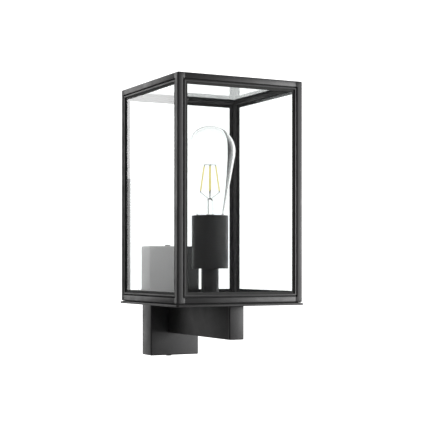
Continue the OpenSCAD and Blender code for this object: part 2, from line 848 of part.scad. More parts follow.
pane("back");  // pane_back
pane("left");  // pane_left
pane("right");  // pane_right
pane("roof");  // pane_roof
bead("front");  // bead_front
bead("back");  // bead_back
bead("left");  // bead_left
bead("right");  // bead_right
bead("roof");  // bead_roof
glazing_seals();
bulb_glass();
bulb_cap();
bulb_insulator();
bulb_contact();
bulb_mount();
filament_wires();
filaments();
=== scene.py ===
# %% [markdown]
# # An outdoor wall lantern, piece by piece
# The lantern is a square glazed cage that stands on an arm, and the arm comes out of a slim box on the wall.
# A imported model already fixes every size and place. This lesson dresses that model: it gives each part the
# soft edges, glass and powder coat of the real thing, and never moves anything.

# %% Load the frame
import json
import math
import bpy
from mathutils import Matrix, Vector


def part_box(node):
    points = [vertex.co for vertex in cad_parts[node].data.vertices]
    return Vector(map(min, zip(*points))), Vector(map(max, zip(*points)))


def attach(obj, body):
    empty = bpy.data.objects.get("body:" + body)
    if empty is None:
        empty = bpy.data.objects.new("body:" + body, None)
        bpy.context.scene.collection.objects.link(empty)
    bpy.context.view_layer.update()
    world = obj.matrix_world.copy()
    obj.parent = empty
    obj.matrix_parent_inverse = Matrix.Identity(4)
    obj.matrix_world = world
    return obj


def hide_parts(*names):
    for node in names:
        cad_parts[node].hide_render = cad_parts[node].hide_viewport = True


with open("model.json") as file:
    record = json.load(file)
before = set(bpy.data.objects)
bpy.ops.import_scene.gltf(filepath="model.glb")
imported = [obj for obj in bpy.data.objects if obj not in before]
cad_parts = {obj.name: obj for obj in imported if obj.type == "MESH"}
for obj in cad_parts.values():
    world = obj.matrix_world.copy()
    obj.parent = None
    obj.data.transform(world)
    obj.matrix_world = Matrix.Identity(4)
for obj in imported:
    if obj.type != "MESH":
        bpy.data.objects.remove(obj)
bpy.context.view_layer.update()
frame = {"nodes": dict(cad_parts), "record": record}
MM = 0.001

# %% [markdown]
# ## Where things are
# Everything is placed from the model's own boxes. The cage's outer planes are needed again and again, because
# the frame's outer edges are rounded and its inner ones are not, so they are measured once.

# %% Measure the cage and the lamp's axis
POSTS = ["post_front_left", "post_front_right", "post_back_left", "post_back_right"]
RAILS = [f"rail_{level}_{side}" for level in ("top", "bottom") for side in ("front", "back", "left", "right")]
FACES = ["front", "back", "left", "right", "roof"]

cage_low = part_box("post_front_left")[0]
cage_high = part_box("post_back_right")[1]
cage_middle = (cage_low + cage_high) / 2
lamp_axis = Vector((cage_middle.x, cage_middle.y, 0))
bulb_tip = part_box("bulb_contact")[0].z
print("cage", [round(v / MM) for v in cage_high - cage_low], "mm, bulb tip at", round(bulb_tip / MM, 1), "mm")

# %% [markdown]
# ## The camera
# A long lens from a little left of the front and just above the base plate shows the front and the left side
# and looks up at the glass roof. The camera stays level, so the posts stay upright, and a small shift of the
# lens brings the tall cage into the frame instead of a tilt.

# %% Set up the camera
CAMERA_TURN = math.radians(-27.16)
CAMERA_DISTANCE = 1.4526
CAMERA_ASIDE = 0.0037
CAMERA_ABOVE_CAGE_FOOT = 0.0469

looking = Vector((-math.sin(CAMERA_TURN), math.cos(CAMERA_TURN), 0))
rightwards = Vector((math.cos(CAMERA_TURN), math.sin(CAMERA_TURN), 0))
bpy.ops.object.camera_add()
camera = bpy.context.object
camera.location = lamp_axis - looking * CAMERA_DISTANCE + rightwards * CAMERA_ASIDE
camera.location.z = cage_low.z + CAMERA_ABOVE_CAGE_FOOT
camera.rotation_euler = looking.to_track_quat("-Z", "Y").to_euler()
camera.data.sensor_width = 36
camera.data.lens = 98
camera.data.shift_y = 0.1208
camera.data.clip_start = 0.05
bpy.context.scene.camera = camera
print("camera at", [round(v, 3) for v in camera.location])

# %% [markdown]
# ## Hands and tools
# Every piece is started from a primitive and shaped in edit mode. Operators act on whatever is selected, so
# these helpers clear the selection first and then pick edges or faces by where they lie.

# %% Helpers for starting and selecting
def fresh():
    """Back to object mode with nothing selected."""
    if bpy.context.object and bpy.context.object.mode != "OBJECT":
        bpy.ops.object.mode_set(mode="OBJECT")
    bpy.ops.object.select_all(action="DESELECT")


def block(name, low, high):
    """A cuboid between two corners, with its place in its mesh."""
    fresh()
    bpy.ops.mesh.primitive_cube_add(size=1, location=(Vector(low) + Vector(high)) / 2)
    piece = bpy.context.object
    piece.name = name
    piece.scale = Vector(high) - Vector(low)
    bpy.ops.object.transform_apply(location=True, rotation=True, scale=True)
    return piece


def pick(piece, kind, test):
    """Enters edit mode with just the edges or faces selected that pass the test."""
    bpy.ops.object.mode_set(mode="EDIT")
    bpy.ops.mesh.select_mode(type=kind)
    bpy.ops.mesh.select_all(action="DESELECT")
    bpy.ops.object.mode_set(mode="OBJECT")
    mesh = piece.data
    chosen = 0
    for part in mesh.edges if kind == "EDGE" else mesh.polygons:
        corners = [mesh.vertices[i].co for i in part.vertices]
        part.select = test(corners)
        chosen += part.select
    bpy.ops.object.mode_set(mode="EDIT")
    return chosen


def on_plane(corners, axis, value):
    return all(abs(corner[axis] - value) < 0.01 * MM for corner in corners)


print("ready: fresh, block, pick, on_plane")

# %% [markdown]
# Sheet metal and bars get their shape from bevels and from cutters taken away by a Boolean. A bevel on chosen
# edges gives a true bend, and one on every sharp edge keeps the light from stopping dead at a corner.

# %% Helpers for shaping
def round_picked(radius, segments=4):
    """Rounds the picked edges and leaves edit mode."""
    bpy.ops.mesh.bevel(offset=radius, segments=segments, affect="EDGES", profile=0.5)
    bpy.ops.object.mode_set(mode="OBJECT")


def soften(piece, width, segments=2, angle=35):
    """Breaks every sharp edge, as paint and handling do."""
    bevel = piece.modifiers.new("soft edges", "BEVEL")
    bevel.width = width
    bevel.segments = segments
    bevel.limit_method = "ANGLE"
    bevel.angle_limit = math.radians(angle)
    bpy.ops.object.modifier_apply(modifier=bevel.name)


def cut(piece, cutter):
    """Takes the cutter's shape away from the piece."""
    boolean = piece.modifiers.new("cut", "BOOLEAN")
    boolean.operation = "DIFFERENCE"
    boolean.solver = "EXACT"
    boolean.object = cutter
    bpy.context.view_layer.objects.active = piece
    bpy.ops.object.modifier_apply(modifier=boolean.name)


def cut_away(piece, cutter):
    """The same, for a cutter that is used only once."""
    cut(piece, cutter)
    bpy.data.objects.remove(cutter, do_unlink=True)


def weld(piece):
    """Merges the near-double points that tight bevels and cuts leave."""
    bpy.ops.object.mode_set(mode="EDIT")
    bpy.ops.mesh.select_all(action="SELECT")
    bpy.ops.mesh.remove_doubles(threshold=0.003 * MM)
    bpy.ops.object.mode_set(mode="OBJECT")


def joined(name, pieces):
    """One piece out of several."""
    fresh()
    for piece in pieces:
        piece.select_set(True)
    bpy.context.view_layer.objects.active = pieces[0]
    bpy.ops.object.join()
    pieces[0].name = name
    return pieces[0]


print("ready: round_picked, soften, cut, cut_away, weld, joined")

# %% [markdown]
# A finished piece is smoothed, painted and handed over. It rides on the body that carries it and stands in
# for the plain parts of the frame that it dresses.

# %% Hand a piece over
def place(piece, body, slot, finish, *nodes, angle=35):
    """The piece takes its finish, rides on its body and stands for its nodes."""
    fresh()
    piece.select_set(True)
    bpy.context.view_layer.objects.active = piece
    bpy.ops.object.shade_smooth_by_angle(angle=math.radians(angle))
    piece.data.materials.clear()
    piece.data.materials.append(finish)
    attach(piece, body)
    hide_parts(*nodes)
    return piece


print("ready: place")

# %% [markdown]
# ## Finishes
# A finish is a small node tree that reads Object coordinates, so a grain has the same size on every piece.
# Fine noise gives the bump, a slower noise drifts the colour and the gloss, and that is what keeps a dark
# surface from looking like flat plastic.

# %% Helpers for a finish and its noise
def new_finish(name):
    finish = bpy.data.materials.new(name)
    finish.use_nodes = True
    return finish, finish.node_tree, finish.node_tree.nodes["Principled BSDF"]


def noise(tree, scale, detail=3.0, rough=0.55, stretch=(1, 1, 1)):
    """Cloudy values in Object coordinates, finer as the scale grows."""
    where = tree.nodes.new("ShaderNodeTexCoord")
    mapping = tree.nodes.new("ShaderNodeMapping")
    mapping.inputs["Scale"].default_value = stretch
    texture = tree.nodes.new("ShaderNodeTexNoise")
    texture.inputs["Scale"].default_value = scale
    texture.inputs["Detail"].default_value = detail
    texture.inputs["Roughness"].default_value = rough
    tree.links.new(where.outputs["Object"], mapping.inputs["Vector"])
    tree.links.new(mapping.outputs["Vector"], texture.inputs["Vector"])
    return texture.outputs["Fac"]


print("ready: new_finish, noise")

# %% [markdown]
# Noise alone is only a grey cloud. It becomes a finish when its values are stretched onto a range of gloss,
# run along a ramp of colours, or raised as a bump.

# %% Helpers that use the noise
def between(tree, value, low, high, from_low=0.3, from_high=0.7):
    """Stretches the value's middle range onto low to high."""
    ranged = tree.nodes.new("ShaderNodeMapRange")
    ranged.inputs["From Min"].default_value = from_low
    ranged.inputs["From Max"].default_value = from_high
    ranged.inputs["To Min"].default_value = low
    ranged.inputs["To Max"].default_value = high
    tree.links.new(value, ranged.inputs["Value"])
    return ranged.outputs["Result"]


def colours(tree, value, stops):
    """A ramp from one colour to the next along the value."""
    ramp = tree.nodes.new("ShaderNodeValToRGB")
    while len(ramp.color_ramp.elements) < len(stops):
        ramp.color_ramp.elements.new(0.5)
    for element, (position, colour) in zip(ramp.color_ramp.elements, stops):
        element.position = position
        element.color = (*colour, 1)
    tree.links.new(value, ramp.inputs["Fac"])
    return ramp.outputs["Color"]


def bumps(tree, shader, height, strength, distance, under=None):
    """A bump from the height, laid over another bump if one is given."""
    bump = tree.nodes.new("ShaderNodeBump")
    bump.inputs["Strength"].default_value = strength
    bump.inputs["Distance"].default_value = distance
    tree.links.new(height, bump.inputs["Height"])
    if under:
        tree.links.new(under, bump.inputs["Normal"])
    tree.links.new(bump.outputs["Normal"], shader.inputs["Normal"])
    return bump.outputs["Normal"]


print("ready: between, colours, bumps")

# %% [markdown]
# ### Powder coat
# Powder is sprayed on dry and baked, so it melts into a skin with a fine sandy grain over a faint orange
# peel. It thins on the edges, where it rubs paler. A Bevel node could find the edges, but it is slow and
# noisy, so Geometry's Pointiness marks them, and two scales of noise make the grain.

# %% Powder coat
DARK_GRAIN, PALE_GRAIN = (0.0105, 0.0102, 0.0108), (0.0255, 0.0248, 0.0258)
RUBBED_EDGE = (0.045, 0.044, 0.045, 1)


def powder_coat():
    finish, tree, shader = new_finish("powder_coat")
    speckle = tree.nodes.new("ShaderNodeMath")
    speckle.operation = "MULTIPLY_ADD"
    speckle.inputs[1].default_value = 0.5
    tree.links.new(noise(tree, 620, 2), speckle.inputs[0])
    tree.links.new(between(tree, noise(tree, 14, 4), 0.0, 0.5, 0.2, 0.8), speckle.inputs[2])
    body = colours(tree, speckle.outputs["Value"], [(0.3, DARK_GRAIN), (0.7, PALE_GRAIN)])
    worn = tree.nodes.new("ShaderNodeMix")
    worn.data_type = "RGBA"
    shape = tree.nodes.new("ShaderNodeNewGeometry")
    edges = between(tree, shape.outputs["Pointiness"], 0.0, 0.6, 0.52, 0.62)
    tree.links.new(edges, worn.inputs["Factor"])
    tree.links.new(body, worn.inputs["A"])
    worn.inputs["B"].default_value = RUBBED_EDGE
    tree.links.new(worn.outputs["Result"], shader.inputs["Base Color"])
    tree.links.new(between(tree, noise(tree, 60), 0.4, 0.54), shader.inputs["Roughness"])
    shader.inputs["Specular IOR Level"].default_value = 0.5
    peel = bumps(tree, shader, noise(tree, 420, 2), 0.3, 0.0002)
    bumps(tree, shader, noise(tree, 1500, 2), 0.5, 0.00012, under=peel)
    return finish


coat = powder_coat()
print("made", coat.name)

# %% [markdown]
# ### Glass
# The panes are float glass, which is a touch green in its thickness and slightly rippled. The bulb is blown,
# so its surface wanders a little more. Both are true refracting solids with two faces, which is what
# brings out the bright and dark streaks along the bulb's sides.

# %% Glass
def clear_glass(name, tint, ripple_scale, ripple, ior=1.5):
    """Clear glass with a drifting tint and a slow ripple."""
    finish, tree, shader = new_finish(name)
    shader.inputs["Transmission Weight"].default_value = 1
    shader.inputs["IOR"].default_value = ior
    drift = noise(tree, 9, 2)
    shade = colours(tree, drift, [(0.3, tint), (0.7, tuple(min(1, c + 0.008) for c in tint))])
    tree.links.new(shade, shader.inputs["Base Color"])
    tree.links.new(between(tree, noise(tree, 35), 0.0, 0.006), shader.inputs["Roughness"])
    bumps(tree, shader, noise(tree, ripple_scale, 1), ripple, 0.0002)
    return finish


pane_glass = clear_glass("pane_glass", (0.965, 0.982, 0.978), 5, 0.03)
bulb_glass = clear_glass("bulb_glass", (0.985, 0.99, 0.99), 22, 0.06, ior=1.47)

print("made", pane_glass.name, "and", bulb_glass.name)

# %% [markdown]
# ### Rubber, plastic and ceramic
# These hide inside or show as thin lines, and they differ only in colour, gloss and grain. One recipe with
# those values as its arguments makes them all, and a table keeps every finish under the name of its slot.

# %% Rubber, plastic and ceramic
def matt(name, dark, light, roughness, grain, strength):
    """A moulded or fired surface: two near colours, a middling gloss and a grain."""
    finish, tree, shader = new_finish(name)
    tint = colours(tree, noise(tree, 40), [(0.3, dark), (0.7, light)])
    gloss = between(tree, noise(tree, 90), roughness - 0.06, roughness + 0.06)
    tree.links.new(tint, shader.inputs["Base Color"])
    tree.links.new(gloss, shader.inputs["Roughness"])
    bumps(tree, shader, noise(tree, grain, 2), strength, 0.0001)
    return finish


FINISHES = {
    "powder_coat": coat,
    "pane_glass": pane_glass,
    "bulb_glass": bulb_glass,
    "rubber": matt("rubber", (0.012, 0.012, 0.012), (0.022, 0.022, 0.021), 0.75, 900, 0.3),
    "ceramic": matt("ceramic", (0.74, 0.72, 0.67), (0.82, 0.80, 0.76), 0.5, 1200, 0.25),
    "black_plastic": matt("black_plastic", (0.018, 0.018, 0.018), (0.028, 0.028, 0.028), 0.5, 1500, 0.2),
    "white_plastic": matt("white_plastic", (0.72, 0.71, 0.66), (0.8, 0.79, 0.74), 0.42, 1000, 0.15),
    "brown_lead": matt("brown_lead", (0.12, 0.05, 0.025), (0.16, 0.07, 0.035), 0.42, 700, 0.1),
    "blue_lead": matt("blue_lead", (0.03, 0.1, 0.38), (0.05, 0.14, 0.45), 0.42, 700, 0.1),
    "green_lead": matt("green_lead", (0.12, 0.32, 0.05), (0.55, 0.5, 0.05), 0.42, 700, 0.1),
    "black_glass": matt("black_glass", (0.008, 0.008, 0.01), (0.014, 0.014, 0.017), 0.16, 300, 0.1),
}
print(len(FINISHES), "finishes so far")

# %% [markdown]
# ### Metals
# Zinc plate, brass and the bulb's rolled cap are the same recipe with other colours: fully metallic, with a
# grain that is stretched along one direction so that it looks drawn or turned.

# %% Metals
DRAWN_GRAIN = (1, 1, 14)


def metal(name, dark, light, roughness):
    """Bare metal with a grain that is finer up the piece than round it."""
    finish, tree, shader = new_finish(name)
    grain = noise(tree, 260, 4, stretch=DRAWN_GRAIN)
    shader.inputs["Metallic"].default_value = 1
    tint = colours(tree, noise(tree, 70), [(0.25, dark), (0.75, light)])
    tree.links.new(tint, shader.inputs["Base Color"])
    tree.links.new(between(tree, grain, roughness - 0.07, roughness + 0.1), shader.inputs["Roughness"])
    bumps(tree, shader, grain, 0.12, 0.00006)
    return finish


FINISHES["zinc_steel"] = metal("zinc_steel", (0.50, 0.51, 0.53), (0.62, 0.62, 0.63), 0.34)
FINISHES["cap_metal"] = metal("cap_metal", (0.68, 0.68, 0.69), (0.80, 0.80, 0.80), 0.24)
FINISHES["brass"] = metal("brass", (0.58, 0.40, 0.16), (0.72, 0.53, 0.24), 0.3)
print("made zinc_steel, cap_metal and brass")

# %% [markdown]
# ### Filament
# A filament is a thin rod of light emitting chips under a yellow coat. Switched off it is a strong
# yellow. The bulb is off, yet a little emission gives the filament a painted glow, which keeps
# that yellow bright behind three layers of glass.

# %% Filament coat
def filament_coat_and_glow():
    finish, tree, shader = new_finish("filament")
    shade = colours(tree, noise(tree, 900, 2), [(0.3, (0.93, 0.78, 0.22)), (0.7, (1.0, 0.90, 0.38))])
    tree.links.new(shade, shader.inputs["Base Color"])
    # Painted glow: the emission makes the switched-off filament shine as if it were lit.
    tree.links.new(shade, shader.inputs["Emission Color"])
    shader.inputs["Emission Strength"].default_value = 0.75
    tree.links.new(between(tree, noise(tree, 500), 0.5, 0.65), shader.inputs["Roughness"])
    bumps(tree, shader, noise(tree, 1500, 2), 0.3, 0.0001)
    return finish


FINISHES["filament"] = filament_coat_and_glow()
print(len(FINISHES), "finishes")

# %% [markdown]
# ## The cage's frame
# Four posts run the full height and eight rails butt between them. Each is a bar with a rebate, the step
# that the glass lies in. A bar could be drawn as a section and pulled along, but starting from a cuboid and
# cutting the rebates out of all twelve with the same five cutters keeps the steps in line round the corners.

# %% Rebate cutters
EDGE_RADIUS = 1.5 * MM
GROOVE = 1.5 * MM
SEAL_THICKNESS = 0.5 * MM
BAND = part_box("bead_front")[0].x - cage_low.x - GROOVE
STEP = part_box("pane_front")[1].y + SEAL_THICKNESS - cage_low.y
BEYOND = 5 * MM
NORMAL_AXIS = {"front": 1, "back": 1, "left": 0, "right": 0, "roof": 2}


def rebate_cutter(face):
    """A cuboid that clears the pane, bead and seal of one face."""
    low = cage_low + Vector((BAND, BAND, BAND))
    high = cage_high - Vector((BAND, BAND, BAND))
    axis = NORMAL_AXIS[face]
    if face in ("front", "left"):
        low[axis], high[axis] = cage_low[axis] - BEYOND, cage_low[axis] + STEP
    else:
        low[axis], high[axis] = cage_high[axis] - STEP, cage_high[axis] + BEYOND
    return block(f"cutter_{face}", low, high)


cutters = {face: rebate_cutter(face) for face in FACES}
print("band", round(BAND / MM, 2), "mm, step", round(STEP / MM, 2), "mm")

# %% [markdown]
# The cage is held from below by a screw into the foot of each post, so four holes are wanted in the posts and
# again in the base plate. Their places follow from the cage's corners, and one round cutter makes them all.

# %% Places and a cutter for the corner screws
SCREW_IN = 5.5 * MM
POST_HOLE_R = 2.3 * MM
POST_HOLE_DEPTH = 6.5 * MM
corner_screws = [
    (x, y)
    for x in (cage_low.x + SCREW_IN, cage_high.x - SCREW_IN)
    for y in (cage_low.y + SCREW_IN, cage_high.y - SCREW_IN)]


def plug(x, y, low, high, low_r, high_r):
    """A round cutter, or a cone where its two radii differ."""
    fresh()
    bpy.ops.mesh.primitive_cone_add(
        vertices=48, radius1=low_r, radius2=high_r, depth=high - low, location=(x, y, (low + high) / 2))
    return bpy.context.object


print("screws at", [[round(v / MM, 1) for v in place_at] for place_at in corner_screws], "mm")

# %% [markdown]
# An edge of a bar is an outer edge of the cage when it lies on two of the cage's outer planes, and only those
# get the small radius. The last fine bevel breaks the rest, and where two bars meet it leaves the hairline
# seam of a real joint.

# %% Shape the posts and rails
def outer_planes(corners):
    """How many of the cage's outer planes all the corners lie on."""
    planes = [(axis, side[axis]) for axis in range(3) for side in (cage_low, cage_high)]
    return sum(on_plane(corners, axis, value) for axis, value in planes)


def frame_member(node):
    """A post or rail, rounded outside and cut out for its panes."""
    low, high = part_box(node)
    bar = block(node.replace("_", "-"), low, high)
    pick(bar, "EDGE", lambda corners: outer_planes(corners) >= 2)
    round_picked(EDGE_RADIUS)
    sides = [face for face in FACES if face in node or (face == "roof" and "bottom" not in node)]
    for face in sides:
        cut(bar, cutters[face])
    soften(bar, 0.25 * MM)
    for x, y in corner_screws if node in POSTS else []:
        if low.x < x < high.x and low.y < y < high.y:
            hole_low, hole_high = low.z - BEYOND, low.z + POST_HOLE_DEPTH
            cut_away(bar, plug(x, y, hole_low, hole_high, POST_HOLE_R, POST_HOLE_R))
    return place(bar, "cage", "powder_coat", coat, node, angle=40)


members = [frame_member(node) for node in POSTS + RAILS]
fresh()
for cutter in cutters.values():
    cutter.select_set(True)
bpy.ops.object.delete()
print(len(members), "bars,", sum(len(m.data.polygons) for m in members), "faces")

# %% [markdown]
# ## Panes, beads and seals
# A bead is the slim bar that holds a pane in its rebate, mitred into a ring. Insetting the two broad faces of
# a flat cuboid and bridging the insets gives the ring in two strokes, with clean corners for the bevel.

# %% Rings
def ring(name, low, high, axis, width):
    """A flat rectangular ring: its broad faces look along the axis."""
    piece = block(name, low, high)
    pick(piece, "FACE", lambda corners: any(on_plane(corners, axis, end[axis]) for end in (low, high)))
    bpy.ops.mesh.inset(thickness=width, depth=0, use_individual=True)
    bpy.ops.mesh.bridge_edge_loops()
    bpy.ops.mesh.select_all(action="SELECT")
    bpy.ops.mesh.normals_make_consistent(inside=False)
    bpy.ops.object.mode_set(mode="OBJECT")
    return piece


print("rings face along axis", NORMAL_AXIS)

# %% [markdown]
# The beads are metal and their edges catch the light, so they get a soft bevel. Float glass is cut and its
# edges are ground, so a pane is a cuboid with a fine flat bevel all round, two true faces and a thickness.

# %% Beads and panes
BEAD_WIDTH = 2 * MM

for face in FACES:
    low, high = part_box(f"bead_{face}")
    bead = ring(f"bead-{face}", low, high, NORMAL_AXIS[face], BEAD_WIDTH)
    soften(bead, 0.35 * MM, 3)
    place(bead, "cage", "powder_coat", coat, f"bead_{face}", angle=40)

    low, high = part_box(f"pane_{face}")
    pane = block(f"pane-{face}", low, high)
    soften(pane, 0.4 * MM, 2)
    place(pane, "cage", "pane_glass", pane_glass, f"pane_{face}", angle=20)
print("five panes with their beads")

# %% [markdown]
# Each pane lies between two thin rubber rings. The outer ring is the wider one and shows as a black line just
# inside the bead, and the inner ring lies on the metal. All ten are joined into one piece.

# %% Seals
OUTER_SEAL = 6 * MM
INNER_SEAL = 2 * MM


def seal_ring(face, outside):
    """A ring on one side of a pane, flush with the pane's edge."""
    low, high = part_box(f"pane_{face}")
    axis = NORMAL_AXIS[face]
    outside_is_low = face in ("front", "left")
    if outside_is_low == outside:
        low[axis], high[axis] = low[axis] - SEAL_THICKNESS, low[axis]
    else:
        low[axis], high[axis] = high[axis], high[axis] + SEAL_THICKNESS
    return ring(f"seal-{face}", low, high, axis, OUTER_SEAL if outside else INNER_SEAL)


seals = [seal_ring(face, outside) for face in FACES for outside in (True, False)]
place(joined("glazing-seals", seals), "cage", "rubber", FINISHES["rubber"], "glazing_seals")
print(len(seals), "seals")

# %% [markdown]
# One gasket seals the foot of the cage against the base plate, and another seals the wall box against the
# wall.
# Both are flat rings, one lying down and one standing, so the ring helper makes them too.

# %% Gaskets
for name, axis, width in (("base", 2, 8 * MM), ("wall", 1, 2.5 * MM)):
    low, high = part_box(f"{name}_gasket")
    gasket = ring(f"{name}-gasket", low, high, axis, width)
    place(gasket, "root", "rubber", FINISHES["rubber"], f"{name}_gasket")
    print(name, "gasket", round(width / MM, 1), "mm wide")

# %% [markdown]
# ## Wall box, arm and base plate
# All three are folded or extruded metal with rounded outer edges. The box is a cuboid whose back is inset and
# pushed in, which leaves a true wall all round. The arm is the same idea with both ends bridged, so it is
# a real tube.

# %% Wall box
SHEET = 1.9 * MM
low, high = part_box("wall_box")
box = block("wall-box", low, high)
pick(box, "EDGE", lambda corners: not on_plane(corners, 1, high.y))
round_picked(EDGE_RADIUS)
pick(box, "FACE", lambda corners: on_plane(corners, 1, high.y))
bpy.ops.mesh.inset(thickness=SHEET, depth=0)
inward = low.y + SHEET - high.y
bpy.ops.mesh.extrude_region_move(TRANSFORM_OT_translate={"value": (0, inward, 0)})
bpy.ops.object.mode_set(mode="OBJECT")
soften(box, 0.25 * MM)
place(box, "root", "powder_coat", coat, "wall_box", angle=40)
print("wall box", [round(v / MM, 1) for v in high - low])

# %% [markdown]
# The arm is a rectangular tube. Only its four long edges are rounded, and then both ends are inset and
# bridged through, which opens it from end to end.

# %% Arm
low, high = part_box("arm_tube")
arm = block("arm-tube", low, high)
pick(arm, "EDGE", lambda corners: abs(corners[0].y - corners[1].y) > MM)
round_picked(EDGE_RADIUS)
pick(arm, "FACE", lambda corners: on_plane(corners, 1, low.y) or on_plane(corners, 1, high.y))
bpy.ops.mesh.inset(thickness=SHEET, depth=0, use_individual=True)
bpy.ops.mesh.bridge_edge_loops()
bpy.ops.object.mode_set(mode="OBJECT")
soften(arm, 0.2 * MM)
weld(arm)
place(arm, "root", "powder_coat", coat, "arm_tube", angle=40)
print("arm", [round(v / MM, 1) for v in high - low], "mm")

# %% [markdown]
# The arm's open end is closed by a cap: a plate with the tube's own rounded corners, and behind it a plug
# that slides into the tube. Insetting the plate's back and extruding it makes both from one cuboid.

# %% End cap
CAP_PLATE = 2.5 * MM
CAP_INSET = 2.2 * MM
low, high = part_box("arm_end_cap")
plate_back = low.y + CAP_PLATE
end_cap = block("arm-end-cap", low, (high.x, plate_back, high.z))
pick(end_cap, "EDGE", lambda corners: not on_plane(corners, 1, plate_back))
round_picked(EDGE_RADIUS)
pick(end_cap, "FACE", lambda corners: on_plane(corners, 1, plate_back))
bpy.ops.mesh.inset(thickness=CAP_INSET, depth=0)
bpy.ops.mesh.extrude_region_move(TRANSFORM_OT_translate={"value": (0, high.y - plate_back, 0)})
bpy.ops.object.mode_set(mode="OBJECT")
soften(end_cap, 0.2 * MM)
place(end_cap, "root", "powder_coat", coat, "arm_end_cap", angle=40)
print("end cap", len(end_cap.data.polygons), "faces")

# %% [markdown]
# The base plate carries the cage. It reaches a little past it as a thin lip all round, and its four corner
# screws are sunk flush from below, so it is cut with a cone and a round hole at each corner.

# %% Base plate
PLATE_CORNER_R = 3 * MM
SCREW_R, SINK_R, SINK_DEPTH = 2 * MM, 3.8 * MM, 2.2 * MM
TUBE_R = 5 * MM
PLAY = 0.15 * MM
BASE_SCREW_Y = 50 * MM
low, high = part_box("base_plate")
base = block("base-plate", low, high)
pick(base, "EDGE", lambda corners: abs(corners[0].z - corners[1].z) > MM)
round_picked(PLATE_CORNER_R, 6)
soften(base, 0.5 * MM, 3)
round_holes = [(x, y, SCREW_R) for x, y in corner_screws]
round_holes += [(lamp_axis.x, lamp_axis.y + step, SCREW_R) for step in (-BASE_SCREW_Y, BASE_SCREW_Y)]
round_holes.append((lamp_axis.x, lamp_axis.y, TUBE_R))
flare = (SINK_R - SCREW_R) / SINK_DEPTH
for x, y in corner_screws:
    cut_away(base, plug(x, y, low.z - MM, low.z + SINK_DEPTH, SINK_R + flare * MM, SCREW_R))
for x, y, radius in round_holes:
    cut_away(base, plug(x, y, low.z - BEYOND, high.z + BEYOND, radius + PLAY, radius + PLAY))
weld(base)
place(base, "root", "powder_coat", coat, "base_plate", angle=40)
print("base plate", [round(v / MM, 1) for v in high - low], "mm,", len(base.data.polygons), "faces")

# %% [markdown]
# ## Turned pieces
# The cup, the stem and the bulb are round about the lamp's axis. A point is extruded along half of the
# outline, and the outline is spun once round the axis. Arcs in an outline come from one small function, so
# the rims are round without a table of points.

# %% Spin an outline
def arc(centre, radius, start, end, steps=6):
    """Points on an arc in the plane of radius and height, angles in degrees."""
    angles = [math.radians(start + (end - start) * i / steps) for i in range(steps + 1)]
    return [(centre[0] + radius * math.cos(a), centre[1] + radius * math.sin(a)) for a in angles]


def turned(name, outline, steps=96, closed=True):
    """An outline of (radius, height) points, in metres, spun about the lamp's axis."""
    fresh()
    first = outline[0]
    bpy.ops.mesh.primitive_plane_add(size=MM, location=(lamp_axis.x + first[0], lamp_axis.y, first[1]))
    piece = bpy.context.object
    piece.name = name
    bpy.ops.object.transform_apply(location=True, rotation=True, scale=True)
    bpy.ops.object.mode_set(mode="EDIT")
    bpy.ops.mesh.select_mode(type="VERT")
    bpy.ops.mesh.select_all(action="SELECT")
    bpy.ops.mesh.merge(type="CENTER")
    here = first
    for point in outline[1:] + ([first] if closed else []):
        step = (point[0] - here[0], 0, point[1] - here[1])
        bpy.ops.mesh.extrude_region_move(TRANSFORM_OT_translate={"value": step})
        here = point
    bpy.ops.mesh.select_all(action="SELECT")
    bpy.ops.mesh.remove_doubles(threshold=1e-6)
    bpy.ops.mesh.select_all(action="SELECT")
    bpy.ops.mesh.spin(steps=steps, angle=2 * math.pi, center=lamp_axis, axis=(0, 0, 1))
    bpy.ops.mesh.select_all(action="SELECT")
    bpy.ops.mesh.remove_doubles(threshold=1e-6)
    bpy.ops.mesh.normals_make_consistent(inside=False)
    bpy.ops.object.mode_set(mode="OBJECT")
    return piece


print("ready: arc, turned")

# %% [markdown]
# The cup is spun from thin sheet: a flat floor with a hole for the threaded tube, a straight wall, and a rim
# with a small radius inside and out. Its outline is closed, so the spin gives a true wall.

# %% Cup
CUP_WALL = 1.5 * MM
LIP = 0.6 * MM
low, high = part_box("lamp_cup")
cup_r = (high.x - low.x) / 2
tube_hole_r = TUBE_R + PLAY
cup_outline = (
    [(tube_hole_r, low.z + CUP_WALL), (tube_hole_r, low.z)]
    + arc((cup_r - LIP, low.z + LIP), LIP, -90, 0)
    + arc((cup_r - LIP, high.z - LIP), LIP, 0, 90)
    + arc((cup_r - CUP_WALL + LIP, high.z - LIP), LIP, 90, 180)
    + [(cup_r - CUP_WALL, low.z + CUP_WALL)]
)
cup = turned("lamp-cup", cup_outline)
place(cup, "root", "powder_coat", coat, "lamp_cup", angle=40)
print("cup", round(2 * cup_r / MM, 1), "mm across")

# %% [markdown]
# The stem under the cup is a plain tube of the same sheet, with the outer edges of its ends broken.

# %% Stem
CHAMFER = 0.3 * MM
low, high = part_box("stem_tube")
stem_r = (high.x - low.x) / 2
stem_outline = [
    (stem_r - CUP_WALL, low.z), (stem_r - CHAMFER, low.z), (stem_r, low.z + CHAMFER),
    (stem_r, high.z - CHAMFER), (stem_r - CHAMFER, high.z), (stem_r - CUP_WALL, high.z),
]
stem = turned("stem-tube", stem_outline, steps=72)
place(stem, "root", "powder_coat", coat, "stem_tube", angle=40)
print("stem", round(2 * stem_r / MM, 1), "mm across")

# %% [markdown]
# ## The bulb
# The envelope is one blown skin: a neck inside the cap, a round shoulder above it, a long cone and a round
# crown. First come the radii at each height of the shoulder and the cone, which meets the crown smoothly.

# %% Outline of the bulb's flank
TAPER_DEGREES = 10.5
TAPER = math.radians(TAPER_DEGREES)
SHOULDER = 6 * MM
NECK_R = 13 * MM
NECK_TOP = bulb_tip + 27 * MM
low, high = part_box("bulb_glass")
bulb_r = (high.x - low.x) / 2
crown_z = high.z - bulb_r


def cone_radius(z):
    """The cone touches the crown's circle, so it is set by the taper alone."""
    return bulb_r * math.cos(TAPER) + math.tan(TAPER) * (z - crown_z + bulb_r * math.sin(TAPER))


